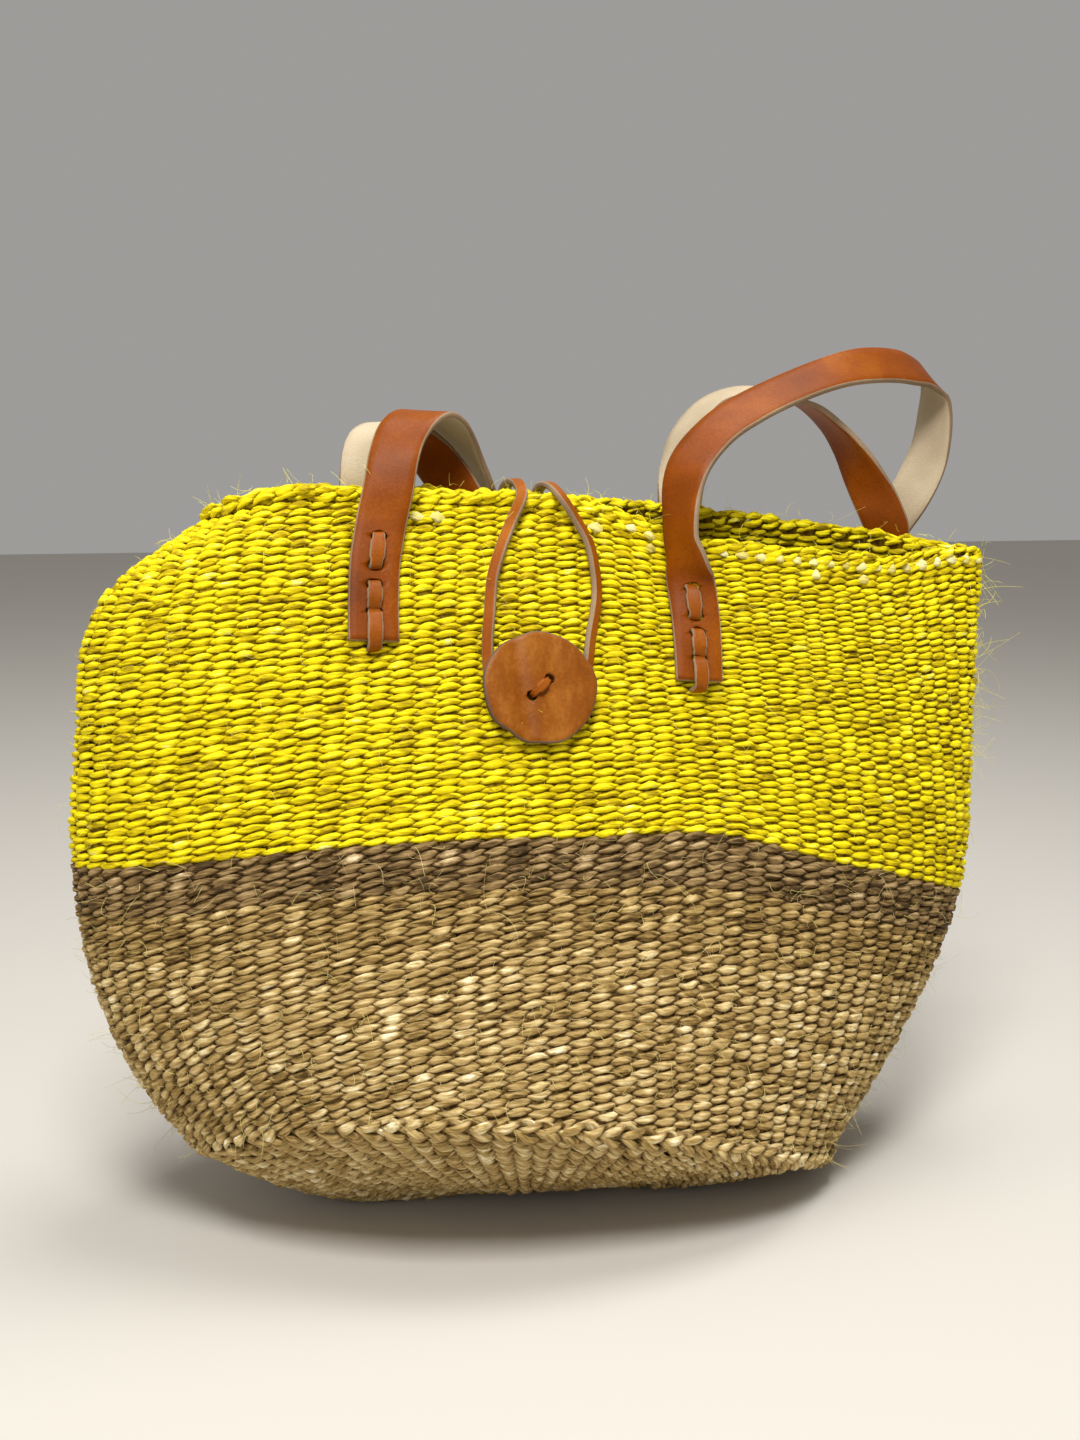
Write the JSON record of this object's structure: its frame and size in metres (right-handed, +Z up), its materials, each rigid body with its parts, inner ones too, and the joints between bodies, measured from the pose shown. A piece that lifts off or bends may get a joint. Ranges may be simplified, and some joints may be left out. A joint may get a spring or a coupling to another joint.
{
  "type": "kiondo basket",
  "caption": "Woven shoulder basket with a round base, a flattened mouth, leather handles laced to the rim, and a leather loop that closes over a button.",
  "frame": {"origin": "On the table under the middle of the flat patch of the woven base.", "axes": "X runs right along the long side of the mouth, Y runs from the button side to the back, Z runs up."},
  "size_m": [0.4076, 0.223, 0.3603],
  "materials": {
    "straw_weave": "natural sisal, tan brown, dry",
    "dark_weave": "dyed sisal, dark brown, dry",
    "yellow_weave": "dyed sisal, bright yellow, dry",
    "strap_leather": "orange tan grain side, suede inner side",
    "lace_leather": "thin tan lacing with pale cut edges",
    "button_leather": "brown tan, satin"
  },
  "bodies": {
    "bag": {"base_disc": "straw_weave", "base_ridge": "straw_weave", "lower_wall": "straw_weave", "dark_band": "dark_weave", "upper_wall": "yellow_weave", "rim_braid": "yellow_weave", "front_left_strap_end": "strap_leather", "front_left_lace": "lace_leather", "front_right_strap_end": "strap_leather", "front_right_lace": "lace_leather", "back_left_strap_end": "strap_leather", "back_left_lace": "lace_leather", "back_right_strap_end": "strap_leather", "back_right_lace": "lace_leather", "loop_anchor": "lace_leather"},
    "front_strap": {"front_handle": "strap_leather"},
    "back_strap": {"back_handle": "strap_leather"},
    "loop": {"closure_loop": "lace_leather"},
    "button": {"button_disc": "button_leather", "button_lace": "lace_leather"}
  },
  "joints": [
    {"name": "front_handle_swing", "type": "hinge", "parent": "bag", "child": "front_strap", "pos_m": [0.0075, -0.0009, 0.3245], "axis": [0.9973, -0.068, -0.0278], "range_deg": [0, 110]},
    {"name": "back_handle_swing", "type": "hinge", "parent": "bag", "child": "back_strap", "pos_m": [0.0075, 0.02475, 0.32715], "axis": [0.9985, -0.0106, 0.0545], "range_deg": [0, 90]},
    {"name": "loop_flip", "type": "hinge", "parent": "bag", "child": "loop", "pos_m": [-0.0097, 0.0139, 0.298], "axis": [-1, 0, 0], "range_deg": [0, 100]},
    {"name": "button_turn", "type": "hinge", "parent": "bag", "child": "button", "pos_m": [-0.0204, -0.04082, 0.21932], "axis": [0.0158, -0.9214, 0.3882], "range_deg": [-40, 40]}
  ],
  "couplings": [
    {"joint": "back_handle_swing", "follows": "front_handle_swing", "ratio": 0.8}
  ]
}
